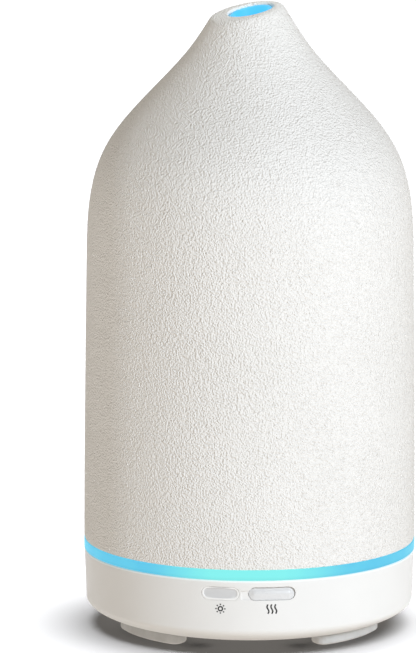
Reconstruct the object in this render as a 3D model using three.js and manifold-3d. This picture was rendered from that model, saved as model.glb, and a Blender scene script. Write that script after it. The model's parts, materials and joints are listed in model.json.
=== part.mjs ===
// Ultrasonic essential oil diffuser: a round base with a light ring, a water tank with its lid and
// chimney, and a loose stone-look cover over them.
// Millimetres, +Z up. The origin is on the table under the axis, and the buttons face -Y.

import * as THREE from 'three';
import { mergeVertices } from 'three/addons/utils/BufferGeometryUtils.js';
import Module from 'manifold-3d';

const wasm = await Module();
wasm.setup();

// ---------------------------------------------------------------- driving dimensions

const DEG = Math.PI / 180;
const GAP = 0.3;                 // clearance between neighbours that don't move

const BODY_R = 47.5;             // cover and light ring, outside
const UNDERSIDE = 2.5;           // base above the table
const RING_TOP = 25;
const RING_BAND = 2.74;          // height of the band that shows
const RING_BOTTOM = RING_TOP - RING_BAND;

const COVER_GAP = 0.2;           // cover above the light ring
const COVER_IN_R = 44.5;         // cover's inside at its foot
const SHOULDER = new THREE.Vector2(46.72, 110);      // where the side starts to curve in
const INFLECTION = new THREE.Vector2(27.63, 155.26); // between the shoulder and the neck
const SHOULDER_LEAN = 0.953;     // how far in the cover runs for each mm up, at the inflection
const MOUTH_Z = 177.9;           // where the axis crosses the slanted mouth
const MOUTH_OUT_R = 10.08;
const MOUTH_IN_R = 6.5;
const MOUTH_TILT = 12.8 * DEG;
const MOUTH_FACES = 207 * DEG;   // the way the mouth leans: to the left and slightly forward

const TANK_R = 38.5;
const TANK_WALL = 2;
const TANK_FLOOR = 26;           // underside of the tank's floor
const TANK_RIM = 62;
const RISER_TOP = 56.5;
const CHIMNEY_R = 6.1;
const CHIMNEY_WALL = 1.3;
const CHIMNEY_DROP = 0.5;        // chimney's end below the mouth

const BASE_FLOOR = 4.5;          // inner floor of the base
const BUTTON_Z = 18.3;
const BUTTON_H = 3.8;
const BUTTONS = {
  light: { x: -8.1, width: 10.6 },
  mist: { x: 6.4, width: 13.2 },
};

const FOOT = { inner: 31.9, outer: 38.6, half: 22 * DEG, corner: 2.5, top: 3.3 };
const FOOT_FROM_FRONT = 54 * DEG;
const HOUSING_SCREW = { x: 14.5, y: 32.2 };

const FAN = { x: 0, y: -15, half: 12.5, z0: 6.3, z1: 13.3, bore: 11.5 };
const FAN_SCREW_OFFSET = 10.2;
const JACK_Z = 14.6;
const PCB = { z0: 6.5, z1: 8.1, x: 30, y0: 5, y1: 28 };
const PCB_POSTS = [[26, 24], [-26, 24], [26, 9], [-26, 9]];
const SWITCH_BOARD = { front: -37.2, back: -36, x: 20, z0: 11, z1: 22 };
const SWITCH = { half: 3, depth: 3.4, bore: 1.9, plunger: 1.6 };
const HOUSING_BOSS = { r: 3, pilot: 1.7, shankHole: 1.8, headHole: 3.2 };
const CLAMP_BOSS = { r: 2.4, pilot: 1.3 };
const POST = { board: 2.6, fan: 2.4, pilot: 1.4 };  // radii of the posts on the base's floor
const DUCT = { r: 12.4, x: 7.8, wall: 1, top: 17 };
const CLAMP_SCREW_R = 15.6;
const LED_BOARD = { inner: 19, outer: 26, z0: 21.6, z1: 22.8 };
const LED_R = 22.5;
const LED_COUNT = 6;

const SMOOTH = 44;               // sides of the pieces that show
const INSIDE = 32;               // sides of the large round pieces under the cover
const MEDIUM = 20;
const SMALL = 10;

// ---------------------------------------------------------------- solids

// A closed geometry as a solid, with its shared vertices merged and its empty triangles dropped.
function solid(geometry) {
  const bare = geometry.index ? geometry.toNonIndexed() : geometry.clone();
  bare.deleteAttribute('normal');
  bare.deleteAttribute('uv');
  const merged = mergeVertices(bare, 1e-4);
  const corners = merged.index.array;
  const kept = [];
  for (let i = 0; i < corners.length; i += 3) {
    const [a, b, c] = corners.slice(i, i + 3);
    if (a !== b && b !== c && c !== a) kept.push(a, b, c);
  }
  return new wasm.Manifold(new wasm.Mesh({
    numProp: 3,
    vertProperties: merged.attributes.position.array,
    triVerts: new Uint32Array(kept),
  }));
}

function geometryOf(body) {
  const { vertProperties, triVerts } = body.getMesh();
  const geometry = new THREE.BufferGeometry();
  geometry.setAttribute('position', new THREE.BufferAttribute(new Float32Array(vertProperties), 3));
  geometry.setIndex(new THREE.BufferAttribute(new Uint32Array(triVerts), 1));
  geometry.computeVertexNormals();
  return geometry;
}

const join = (first, ...others) => others.reduce((all, one) => all.add(one), first);
const cut = (body, ...tools) => tools.reduce((left, tool) => left.subtract(tool), body);

function block([x0, x1], [y0, y1], [z0, z1]) {
  const geometry = new THREE.BoxGeometry(x1 - x0, y1 - y0, z1 - z0);
  return solid(geometry.translate((x0 + x1) / 2, (y0 + y1) / 2, (z0 + z1) / 2));
}

// An upright round rod.
function rod(radius, [z0, z1], [x, y] = [0, 0], sides = SMALL) {
  const geometry = new THREE.CylinderGeometry(radius, radius, z1 - z0, sides);
  return solid(geometry.rotateX(90 * DEG).translate(x, y, (z0 + z1) / 2));
}

// A round rod that lies along Y.
function rodY(radius, [y0, y1], [x, z], sides = SMALL) {
  const geometry = new THREE.CylinderGeometry(radius, radius, y1 - y0, sides);
  return solid(geometry.translate(x, (y0 + y1) / 2, z));
}

// A body of revolution about Z from [radius, height] points, counter-clockwise round its section.
function revolve(outline, sides = SMOOTH) {
  const points = outline.map((p) => (p.isVector2 ? p : new THREE.Vector2(...p)));
  const closed = points[0].x > 0 ? [...points, points[0].clone()] : points;
  return solid(new THREE.LatheGeometry(closed, sides).rotateX(90 * DEG));
}

const tube = (inner, outer, [z0, z1], sides = SMOOTH) =>
  revolve([[inner, z0], [outer, z0], [outer, z1], [inner, z1]], sides);

// Points along a cubic curve, without its last one.
function sweep(from, leave, arrive, to, steps) {
  const ends = [from, leave, arrive, to].map((p) => (p.isVector2 ? p : new THREE.Vector2(...p)));
  return new THREE.CubicBezierCurve(...ends).getPoints(steps).slice(0, -1);
}

// A quarter, or part of one, of an ellipse's lower right side, from the angle below to its side.
function lowerCorner(centre, [across, down], from, steps) {
  return Array.from({ length: steps + 1 }, (_, i) => {
    const angle = from * (1 - i / steps);
    return [centre[0] + across * Math.cos(angle), centre[1] - down * Math.sin(angle)];
  });
}

function plate(shape, [z0, z1], curveSegments = 6) {
  const geometry = new THREE.ExtrudeGeometry(shape, { depth: z1 - z0, bevelEnabled: false, curveSegments });
  return solid(geometry.translate(0, 0, z0));
}

// A stadium outline, long across X.
function pill(width, height) {
  const r = height / 2;
  const reach = width / 2 - r;
  const shape = new THREE.Shape();
  shape.absarc(reach, 0, r, -90 * DEG, 90 * DEG, false);
  shape.absarc(-reach, 0, r, 90 * DEG, 270 * DEG, false);
  return shape;
}

// A stadium prism that runs along Y between y0 and y1, centred on (x, z).
function pillY(width, height, [y0, y1], [x, z]) {
  const depth = y1 - y0;
  const geometry = new THREE.ExtrudeGeometry(pill(width, height), {
    depth, bevelEnabled: false, curveSegments: 5,
  });
  return solid(geometry.rotateX(90 * DEG).translate(x, y1, z));
}

// An arc-shaped outline with rounded corners, centred on +X.
function arcBlock({ inner, outer, half, corner }, grow = 0) {
  const [rIn, rOut, c] = [inner - grow, outer + grow, corner + grow];
  const side = half + grow / ((inner + outer) / 2);
  const turnOut = side - Math.asin(c / (rOut - c));
  const turnIn = side - Math.asin(c / (rIn + c));
  const centre = (r, angle) => [r * Math.cos(angle), r * Math.sin(angle)];
  const quarter = 90 * DEG;
  const shape = new THREE.Shape();
  shape.absarc(0, 0, rOut, -turnOut, turnOut, false);
  shape.absarc(...centre(rOut - c, turnOut), c, turnOut, side + quarter, false);
  shape.absarc(...centre(rIn + c, turnIn), c, side + quarter, turnIn + 2 * quarter, false);
  shape.absarc(0, 0, rIn, turnIn, -turnIn, true);
  shape.absarc(...centre(rIn + c, -turnIn), c, 2 * quarter - turnIn, 3 * quarter - side, false);
  shape.absarc(...centre(rOut - c, -turnOut), c, -side - quarter, -turnOut, false);
  return shape;
}

// Everything above a plane parallel to the slanted mouth, `drop` below it.
function aboveMouth(drop) {
  const SIZE = 60;
  const geometry = new THREE.BoxGeometry(SIZE, SIZE, SIZE).translate(0, 0, SIZE / 2);
  const hinge = new THREE.Vector3(-Math.sin(MOUTH_FACES), Math.cos(MOUTH_FACES), 0);
  geometry.applyMatrix4(new THREE.Matrix4().makeRotationAxis(hinge, MOUTH_TILT));
  return solid(geometry.translate(0, 0, MOUTH_Z - drop));
}

// ---------------------------------------------------------------- materials

const finish = (color, roughness, metalness = 0, more = {}) =>
  new THREE.MeshStandardMaterial({ color, roughness, metalness, ...more });

const STONE = () => finish(0xeeebe6, 0.85);
const WHITE_PLASTIC = () => finish(0xf0eeea, 0.4);
const KEY_PLASTIC = () => finish(0xe4e2de, 0.35);
const FROSTED = () => finish(0xe8f2f4, 0.35, 0, { transparent: true, opacity: 0.8 });
const RING_PLASTIC = () => finish(0x7fe3f2, 0.3, 0, { emissive: 0x35c4e0 });
const SILICONE = () => finish(0xd8d6d0, 0.6);
const GREY_RUBBER = () => finish(0x8a8f92, 0.7);
const BLACK_PLASTIC = () => finish(0x1c1c1e, 0.5);
const CIRCUIT_BOARD = () => finish(0x1f6b3a, 0.5);
const CERAMIC_DISC = () => finish(0xd9c7a0, 0.3, 0.2);
const STEEL = () => finish(0xb9bcc0, 0.3, 1);
const COPPER_COIL = () => finish(0xb06a35, 0.4, 0.8);
const ALUMINIUM = () => finish(0xc6c9cc, 0.35, 1);
const CONNECTOR = () => finish(0xf2efe6, 0.5);
const LED_LENS = () => finish(0xf6f3d8, 0.25);
const RED_LEAD = () => finish(0xb4242a, 0.5);
const BLACK_LEAD = () => finish(0x222224, 0.5);

const diffuser = new THREE.Group();

function add(name, material, body, place = {}) {
  const mesh = new THREE.Mesh(body.isBufferGeometry ? body : geometryOf(body), material);
  mesh.name = name;
  if (place.position) mesh.position.set(...place.position);
  if (place.turn) mesh.rotation.z = place.turn;
  diffuser.add(mesh);
  return mesh;
}

// ---------------------------------------------------------------- cover and lid

// The cover's outside, from the foot to the neck: three curves that run on smoothly.
function coverOutside() {
  const foot = [BODY_R, RING_TOP + COVER_GAP];
  const mouth = [MOUTH_OUT_R - 1.2, MOUTH_Z + 3];
  const reach = { rise: 25, shoulder: 14.1, throat: 10, neck: 11.1 };
  const along = (from, lean, dz) => [from.x - lean * dz, from.y + dz];
  return [
    ...sweep(foot, [BODY_R, 53.3], [47.06, 81.7], SHOULDER, 2),
    ...sweep(SHOULDER, [SHOULDER.x - 0.3, SHOULDER.y + reach.rise],
      along(INFLECTION, SHOULDER_LEAN, -reach.shoulder), INFLECTION, 7),
    ...sweep(INFLECTION, along(INFLECTION, SHOULDER_LEAN, reach.throat),
      [MOUTH_OUT_R + 0.6 * reach.neck, MOUTH_Z - reach.neck], [MOUTH_OUT_R, MOUTH_Z], 4),
    [MOUTH_OUT_R, MOUTH_Z],
    mouth,
  ];
}

// The inside, from the neck's bore back down to the foot.
function coverInside() {
  const boreFoot = [MOUTH_IN_R, 171];
  const throat = [25.46, 153.2];
  const shoulder = [43.72, 110];
  return [
    [MOUTH_IN_R, MOUTH_Z + 3],
    ...sweep(boreFoot, [MOUTH_IN_R, 163.5], [17.8, 161.2], throat, 3),
    ...sweep(throat, [38.6, 139.4], [43.4, 133], shoulder, 4),
    ...sweep(shoulder, [44.1, 81.7], [COVER_IN_R, 53.3], [COVER_IN_R, RING_TOP + COVER_GAP], 1),
    [COVER_IN_R, RING_TOP + COVER_GAP],
  ];
}

add('outer_cover', STONE(), cut(revolve([...coverOutside(), ...coverInside()]), aboveMouth(0)));

// A dome that stands on the tank's rim, with a locating skirt inside it and a chimney up the neck.
function innerLid() {
  const wall = 1.5;
  const side = 38.6;
  const domeFoot = 84;
  const chimneyIn = CHIMNEY_R - CHIMNEY_WALL;
  const seat = TANK_RIM + GAP;
  const top = MOUTH_Z + 6;
  const skirt = { inner: 34.6, outer: TANK_R - TANK_WALL - 0.4, foot: 57.5 };
  const body = revolve([
    [skirt.inner, skirt.foot],
    [skirt.outer, skirt.foot],
    [skirt.outer, seat],
    [40.2, seat],
    [40.2, seat + 1.8],
    [side, seat + 1.8],
    ...sweep([side, domeFoot], [side, 104], [27, 114.5], [17, 118.5], 5),
    ...sweep([17, 118.5], [10.5, 121], [CHIMNEY_R, 124], [CHIMNEY_R, 132], 3),
    [CHIMNEY_R, 132],
    [CHIMNEY_R, top],
    [chimneyIn, top],
    ...sweep([chimneyIn, 131], [chimneyIn, 123], [9.5, 119.6], [16.4, 117], 2),
    ...sweep([16.4, 117], [26, 113], [side - wall, 103], [side - wall, domeFoot], 4),
    [side - wall, domeFoot],
    [side - wall, seat + 1.8],
    [skirt.inner, seat - 1],
  ], INSIDE);
  return cut(body, aboveMouth(CHIMNEY_DROP));
}

add('inner_lid', FROSTED(), innerLid());

// ---------------------------------------------------------------- tank

const RISER = { x: 8, y: [-34.4, -28.1], wall: 1.2 };
const around = (count, radius, start = 0) =>
  Array.from({ length: count }, (_, i) => {
    const angle = start + (i * 360 * DEG) / count;
    return [radius * Math.cos(angle), radius * Math.sin(angle)];
  });
const clampScrews = around(3, CLAMP_SCREW_R, 30 * DEG);
const ledPegs = around(3, LED_R, 60 * DEG);
const housingScrews = [[-1, -1], [1, -1], [1, 1], [-1, 1]]
  .map(([sx, sy]) => [sx * HOUSING_SCREW.x, sy * HOUSING_SCREW.y]);
const fanScrews = [[-1, -1], [1, 1]]
  .map(([sx, sy]) => [FAN.x + sx * FAN_SCREW_OFFSET, FAN.y + sy * FAN_SCREW_OFFSET]);

// The tub with its flange, the socket under its floor for the mist disc, and the air riser.
function waterTank() {
  const inside = TANK_R - TANK_WALL;
  const floorTop = TANK_FLOOR + TANK_WALL;
  const well = 7;
  const socket = { inner: 11.6, outer: 13.5, foot: 21 };
  const flange = { r: COVER_IN_R - GAP, z0: RING_TOP, z1: RING_TOP + 1.8 };
  const tub = revolve([
    [well, TANK_FLOOR],
    [socket.inner, TANK_FLOOR],
    [socket.inner, socket.foot],
    [socket.outer, socket.foot],
    [socket.outer, TANK_FLOOR],
    [inside, TANK_FLOOR],
    [inside, flange.z0],
    [flange.r, flange.z0],
    [flange.r, flange.z1],
    [TANK_R, flange.z1],
    [TANK_R, TANK_RIM],
    [inside, TANK_RIM],
    [inside, floorTop + 1.5],
    [inside - 1.5, floorTop],
    [well + 3, floorTop],
    [well, floorTop - 1],
  ], INSIDE);
  const [riserBack, riserFront] = RISER.y;
  const riser = block([-RISER.x - RISER.wall, RISER.x + RISER.wall],
    [riserBack - 0.4, riserFront + RISER.wall], [TANK_FLOOR + 1, RISER_TOP]);
  const riserBore = block([-RISER.x, RISER.x], RISER.y, [TANK_FLOOR - 1, RISER_TOP + 1]);
  const bosses = housingScrews.map((at) => rod(HOUSING_BOSS.r, [BASE_FLOOR + GAP, TANK_FLOOR + 1], at, 16));
  const pilots = housingScrews.map((at) => rod(HOUSING_BOSS.pilot, [BASE_FLOOR, 16], at));
  const clampBosses = clampScrews.map((at) => rod(CLAMP_BOSS.r, [socket.foot, TANK_FLOOR + 0.5], at));
  const clampPilots = clampScrews.map((at) => rod(CLAMP_BOSS.pilot, [socket.foot - 1, 25.2], at));
  const pegs = ledPegs.map((at) => rod(1, [LED_BOARD.z0 - 0.6, TANK_FLOOR + 0.5], at));
  const body = join(tub, riser, ...bosses, ...clampBosses, ...pegs);
  return cut(body, riserBore, ...pilots, ...clampPilots);
}

add('water_tank', FROSTED(), waterTank());

// ---------------------------------------------------------------- light ring and gasket

add('light_ring', RING_PLASTIC(), revolve([
  [39.6, RING_BOTTOM],
  [43.6, RING_BOTTOM],
  [43.6, RING_BOTTOM - 0.9],
  [45, RING_BOTTOM - 0.9],
  [45, RING_BOTTOM],
  [BODY_R, RING_BOTTOM],
  [BODY_R, RING_TOP],
  [COVER_IN_R + 0.1, RING_TOP],
  [COVER_IN_R + 0.1, RING_TOP - 1.2],
  [39.6, RING_TOP - 1.2],
]));

add('base_gasket', GREY_RUBBER(), tube(40.4, 43.4, [RING_TOP - 1, RING_TOP - 0.2], INSIDE));

// ---------------------------------------------------------------- base housing

const CORNER = { centre: [18.5, 7.95], outside: [28.4, 7], inside: [26.4, 5] };

// Air slots under the fan, each as long as the fan's bore is wide there.
function airSlots() {
  const width = 2;
  const pitch = 3.6;
  return [-2, -1, 0, 1, 2].map((i) => {
    const y = FAN.y + i * pitch;
    const half = Math.sqrt(FAN.bore ** 2 - (i * pitch) ** 2) - 1.2;
    return block([-half, half], [y - width / 2, y + width / 2], [UNDERSIDE - 1, BASE_FLOOR + 1]);
  });
}

function footPlaces() {
  const front = -90 * DEG;
  const turn = FOOT_FROM_FRONT;
  return {
    foot_front_left: front - turn,
    foot_front_right: front + turn,
    foot_rear_right: -front - turn,
    foot_rear_left: -front + turn,
  };
}

// Upright channels that hold the switch board's ends.
function boardChannel(side) {
  const from = SWITCH_BOARD.x - 2;
  const across = [from, SWITCH_BOARD.x + 1.4].map((x) => x * side).sort((a, b) => a - b);
  const slot = [from - 1, SWITCH_BOARD.x + GAP].map((x) => x * side).sort((a, b) => a - b);
  const channel = block(across, [SWITCH_BOARD.front - 1.8, SWITCH_BOARD.back + 1.8], [BASE_FLOOR + 1.1, 16]);
  const groove = block(slot, [SWITCH_BOARD.front - GAP, SWITCH_BOARD.back + GAP],
    [SWITCH_BOARD.z0 - GAP, 17]);
  return cut(channel, groove);
}

function baseHousing() {
  const wallTop = RING_BOTTOM - 0.2;
  const outAngle = Math.asin((CORNER.centre[1] - UNDERSIDE) / CORNER.outside[1]);
  const inAngle = Math.asin((CORNER.centre[1] - BASE_FLOOR) / CORNER.inside[1]);
  const cup = revolve([
    [0, UNDERSIDE],
    ...lowerCorner(CORNER.centre, CORNER.outside, outAngle, 5),
    [BODY_R - 0.1, wallTop],
    [45.3, wallTop],
    ...lowerCorner(CORNER.centre, CORNER.inside, inAngle, 3).reverse(),
    [0, BASE_FLOOR],
  ]);
  const posts = PCB_POSTS.map((at) => rod(POST.board, [BASE_FLOOR - 0.5, PCB.z0 - 0.2], at));
  const fanPosts = fanScrews.map((at) => rod(POST.fan, [BASE_FLOOR - 0.5, FAN.z0 - 0.2], at));
  const windows = Object.values(BUTTONS).map(({ x, width }) =>
    pillY(width + 2 * GAP, BUTTON_H + 2 * GAP, [-BODY_R - 1, -40], [x, BUTTON_Z]));
  const bridge = block([-2.4, -0.6], [-BODY_R - 1, -BODY_R + 0.6], [BUTTON_Z - 1.7, BUTTON_Z + 1.7]);
  const jackHole = rodY(4.6, [40, BODY_R + 1], [0, JACK_Z], 24);
  const shankHoles = housingScrews.map((at) =>
    rod(HOUSING_BOSS.shankHole, [UNDERSIDE - 1, BASE_FLOOR + 1], at));
  const headHoles = housingScrews.map((at) =>
    rod(HOUSING_BOSS.headHole, [UNDERSIDE - 1, UNDERSIDE + 1.2], at, 16));
  const pocket = plate(arcBlock(FOOT, GAP), [0, FOOT.top + GAP], 2);
  const pockets = Object.values(footPlaces()).map((turn) => pocket.rotate([0, 0, turn / DEG]));
  const pilots = [...PCB_POSTS, ...fanScrews].map((at) => rod(POST.pilot, [BASE_FLOOR, PCB.z0 + 1], at));
  const body = join(cup, ...posts, ...fanPosts, boardChannel(-1), boardChannel(1));
  return cut(body, ...windows, bridge, jackHole, ...shankHoles, ...headHoles, ...pockets,
    ...airSlots(), ...pilots);
}

add('base_housing', WHITE_PLASTIC(), baseHousing());

// Each foot is pressed into its pocket; its edges are broken.
for (const [name, turn] of Object.entries(footPlaces())) {
  const edge = 0.7;
  const foot = new THREE.ExtrudeGeometry(arcBlock(FOOT), {
    depth: FOOT.top - 2 * edge,
    bevelThickness: edge,
    bevelSize: edge,
    bevelOffset: -edge,
    bevelSegments: 1,
    curveSegments: 2,
  });
  add(name, SILICONE(), solid(foot.translate(0, 0, edge)), { turn });
}

// ---------------------------------------------------------------- screws

// A pan-head screw that points up, its head's face at z = 0, with a cross recess if it shows.
function panScrew({ head, headHeight, shank, length, shows = false }) {
  const body = revolve([
    [0, 0],
    [head * 0.75, 0],
    [head, headHeight * 0.45],
    [head, headHeight],
    [shank, headHeight],
    [shank, length - shank],
    [0, length],
  ], SMALL);
  if (!shows) return body;
  const bar = head * 0.55;
  const slot = head * 0.12;
  const depth = [-1, headHeight * 0.5];
  return cut(body, block([-bar, bar], [-slot, slot], depth), block([-slot, slot], [-bar, bar], depth));
}

function addScrews(name, places, z, shape, down = false) {
  places.forEach(([x, y], i) => {
    const mesh = add(`${name}_${i + 1}`, STEEL(), panScrew(shape), { position: [x, y, z] });
    if (down) mesh.rotation.x = 180 * DEG;
  });
}

addScrews('housing_screw', housingScrews, UNDERSIDE + 0.1,
  { head: 2.8, headHeight: 0.9, shank: 1.3, length: 12, shows: true });
addScrews('clamp_screw', clampScrews, 17.6, { head: 1.8, headHeight: 1, shank: 1, length: 6.5 });
addScrews('fan_screw', fanScrews, FAN.z1 + 1.5,
  { head: 1.8, headHeight: 1.2, shank: 1, length: 9.6 }, true);
addScrews('pcb_screw', PCB_POSTS.slice(0, 2), PCB.z1 + 1.5,
  { head: 2.2, headHeight: 1.3, shank: 1, length: 4.6 }, true);

// ---------------------------------------------------------------- buttons and switches

// A key's cap fills its window, a flange holds it in, and it stands on its switch's plunger.
function button({ x, width }) {
  const flangeFront = -42.4;
  const back = -41.5;
  const cap = pillY(width, BUTTON_H, [-BODY_R - 1, flangeFront], [x, BUTTON_Z])
    .intersect(rod(BODY_R - 0.05, [0, RING_TOP], [0, 0], SMOOTH));
  const flange = pillY(width + 1.8, BUTTON_H + 1.8, [flangeFront - 0.01, back], [x, BUTTON_Z]);
  return join(cap, flange);
}

for (const [name, key] of Object.entries(BUTTONS)) {
  const { front } = SWITCH_BOARD;
  const { half } = SWITCH;
  const bodyFront = front - SWITCH.depth;
  const body = block([key.x - half, key.x + half], [bodyFront, front - 0.05],
    [BUTTON_Z - half, BUTTON_Z + half]);
  const bore = rodY(SWITCH.bore, [bodyFront - 1, bodyFront + 2], [key.x, BUTTON_Z], 16);
  add(`${name}_button`, KEY_PLASTIC(), button(key));
  add(`${name}_switch`, BLACK_PLASTIC(), cut(body, bore));
  add(`${name}_switch_plunger`, GREY_RUBBER(),
    rodY(SWITCH.plunger, [bodyFront - 0.7, bodyFront + 1.2], [key.x, BUTTON_Z], 16));
}

add('switch_board', CIRCUIT_BOARD(), block([-SWITCH_BOARD.x, SWITCH_BOARD.x],
  [SWITCH_BOARD.front, SWITCH_BOARD.back], [SWITCH_BOARD.z0, SWITCH_BOARD.z1]));

// ---------------------------------------------------------------- mist disc

add('piezo_disc', CERAMIC_DISC(), rod(10, [23.9, 24.6], [0, 0], MEDIUM));

add('piezo_seal', GREY_RUBBER(), revolve([
  [8, 22.6],
  [11.3, 22.6],
  [11.3, 25.8],
  [8, 25.8],
  [8, 24.9],
  [10.3, 24.9],
  [10.3, 23.6],
  [8, 23.6],
], MEDIUM));

add('piezo_clamp', WHITE_PLASTIC(), cut(revolve([
  [5.5, 18.8],
  [17.8, 18.8],
  [17.8, 20.7],
  [11.2, 20.7],
  [11.2, 22.3],
  [8.4, 22.3],
  [8.4, 20.7],
  [5.5, 20.7],
], MEDIUM), ...clampScrews.map((at) => rod(1.4, [18, 21], at))));

// ---------------------------------------------------------------- light board

add('led_board', CIRCUIT_BOARD(), cut(
  tube(LED_BOARD.inner, LED_BOARD.outer, [LED_BOARD.z0, LED_BOARD.z1], INSIDE),
  ...ledPegs.map((at) => rod(1.3, [LED_BOARD.z0 - 1, LED_BOARD.z1 + 1], at)),
));

for (let i = 0; i < LED_COUNT; i += 1) {
  const angle = (30 + (i * 360) / LED_COUNT) * DEG;
  const half = 2.2;
  const height = 1.5;
  const lamp = new THREE.BoxGeometry(2 * half, 2 * half, height).translate(0, 0, height / 2);
  const position = [LED_R * Math.cos(angle), LED_R * Math.sin(angle), LED_BOARD.z1 + 0.05];
  add(`led_${i + 1}`, LED_LENS(), lamp, { position, turn: angle });
}

// ---------------------------------------------------------------- fan and duct

function fanHousing() {
  const { x, y, half, z0, z1, bore } = FAN;
  const frame = cut(block([x - half, x + half], [y - half, y + half], [z0, z1]),
    rod(bore, [z0 - 1, z1 + 1], [x, y], MEDIUM));
  const hub = rod(5.2, [z0, z0 + 1.1], [x, y], 24);
  const spokes = [30, 150, 270].map((angle) => {
    const bar = new THREE.BoxGeometry(bore + 0.6, 1.6, 1.1).translate((bore + 0.6) / 2, 0, z0 + 0.55);
    return solid(bar.rotateZ(angle * DEG).translate(x, y, 0));
  });
  const corners = [[-1, -1], [1, -1], [1, 1], [-1, 1]].map(([sx, sy]) =>
    rod(1.4, [z0 - 1, z1 + 1], [x + sx * FAN_SCREW_OFFSET, y + sy * FAN_SCREW_OFFSET]));
  return cut(join(frame, hub, ...spokes), ...corners);
}

// A hub with seven pitched blades, about its own axis.
function fanRotor() {
  const hubR = 5;
  const tipR = 11;
  const height = 5;
  const count = 7;
  const hub = rod(hubR, [0, height], [0, 0], 24);
  const blades = Array.from({ length: count }, (_, i) => {
    const length = tipR - hubR + 1;
    const blade = new THREE.BoxGeometry(length, 5, 0.7).rotateX(38 * DEG);
    return solid(blade.translate(hubR - 1 + length / 2, 0, height / 2).rotateZ((i * 360 * DEG) / count));
  });
  return join(hub, ...blades);
}

add('fan_housing', BLACK_PLASTIC(), fanHousing());
add('fan_rotor', BLACK_PLASTIC(), fanRotor(), { position: [FAN.x, FAN.y, FAN.z0 + 1.5] });

// A flat chamber over the fan that leads forward to a spout in the tank's riser.
function airDuct() {
  const { wall } = DUCT;
  const [z0, z1] = [FAN.z1 + GAP, DUCT.top];
  const over = [FAN.x, FAN.y];
  const spoutTop = TANK_FLOOR + 1.5;
  const spout = { x: 7.5, y: [RISER.y[0] + 0.5, RISER.y[1] - 0.5] };
  const inner = { x: spout.x - wall, y: [spout.y[0] + wall, spout.y[1] - wall] };
  const outside = join(rod(DUCT.r, [z0, z1], over, MEDIUM),
    block([-DUCT.x, DUCT.x], [-34.6, FAN.y], [z0, z1]),
    block([-spout.x, spout.x], spout.y, [z1 - 0.5, spoutTop]));
  const hollow = join(rod(DUCT.r - wall, [z0 - 1, z1 - wall], over, MEDIUM),
    block([wall - DUCT.x, DUCT.x - wall], [wall - 34.6, FAN.y], [z0 + wall, z1 - wall]),
    block([-inner.x, inner.x], inner.y, [z0 + wall, spoutTop + 1]));
  return cut(outside, hollow);
}

add('air_duct', WHITE_PLASTIC(), airDuct());

// ---------------------------------------------------------------- main board

function mainBoard() {
  const board = join(
    block([-PCB.x, PCB.x], [PCB.y0, PCB.y1], [PCB.z0, PCB.z1]),
    block([-6, 6], [PCB.y1 - 1, 41], [PCB.z0, PCB.z1]),
  );
  return cut(board, ...PCB_POSTS.map((at) => rod(1.5, [PCB.z0 - 1, PCB.z1 + 1], at)));
}

add('main_board', CIRCUIT_BOARD(), mainBoard());

function powerInlet() {
  const body = block([-4.5, 4.5], [30.2, 43.9], [PCB.z1 + 0.1, JACK_Z + 4.4]);
  const snout = rodY(4.1, [43, 46.9], [0, JACK_Z], 24);
  const socket = rodY(3.2, [36, 48], [0, JACK_Z], 24);
  return cut(join(body, snout), socket);
}

add('dc_inlet', BLACK_PLASTIC(), powerInlet());
add('dc_inlet_pin', STEEL(), rodY(1, [36.2, 46], [0, JACK_Z], SMALL));

const ON_BOARD = PCB.z1 + 0.1;

// A drum-shaped wound coil.
add('boost_coil', COPPER_COIL(), revolve([
  [0, 0],
  [4.5, 0],
  [4.5, 1.2],
  [3.8, 1.8],
  [3.8, 5.4],
  [4.5, 6],
  [4.5, 7.2],
  [0, 7.2],
], 24), { position: [-19, 18, ON_BOARD] });

const capacitor = () => revolve([
  [0, 0],
  [3.1, 0],
  [3.1, 7.4],
  [2.8, 7.8],
  [0, 7.8],
], 20);
add('capacitor_1', ALUMINIUM(), capacitor(), { position: [18, 21, ON_BOARD] });
add('capacitor_2', ALUMINIUM(), capacitor(), { position: [11, 21, ON_BOARD] });
add('control_chip', BLACK_PLASTIC(), block([-3, 7], [12, 18], [ON_BOARD, ON_BOARD + 1.6]));

// A power transistor that stands on edge, with a metal tab above its body.
add('driver_transistor', BLACK_PLASTIC(), join(
  block([-11, -1], [22.2, 26.6], [ON_BOARD, ON_BOARD + 6]),
  block([-11, -1], [25.4, 26.6], [ON_BOARD + 5, ON_BOARD + 9]),
));

const SOCKETS = {
  piezo_connector: [-8, 9],
  fan_connector: [4, 8.5],
  led_connector: [19, 11],
  switch_connector: [-18, 8.5],
};
for (const [name, [x, y]] of Object.entries(SOCKETS)) {
  const shell = block([-3, 3], [-2.2, 2.2], [0, 5]);
  const mouth = block([-2.2, 2.2], [-1.4, 1.4], [3.4, 6]);
  add(name, CONNECTOR(), cut(shell, mouth), { position: [x, y, ON_BOARD] });
}

// ---------------------------------------------------------------- leads

// A round lead through hand-placed points.
function lead(points, radius = 0.7) {
  const path = new THREE.CatmullRomCurve3(points.map((p) => new THREE.Vector3(...p)));
  const section = new THREE.Shape().absarc(0, 0, radius, 0, 360 * DEG, false);
  const options = { steps: 4 * (points.length - 1), curveSegments: 2, extrudePath: path };
  return solid(new THREE.ExtrudeGeometry(section, options));
}

const plugTop = ON_BOARD + 3.8;
const [PIEZO_AT, FAN_AT, LED_AT, SWITCH_AT] = Object.values(SOCKETS);

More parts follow.
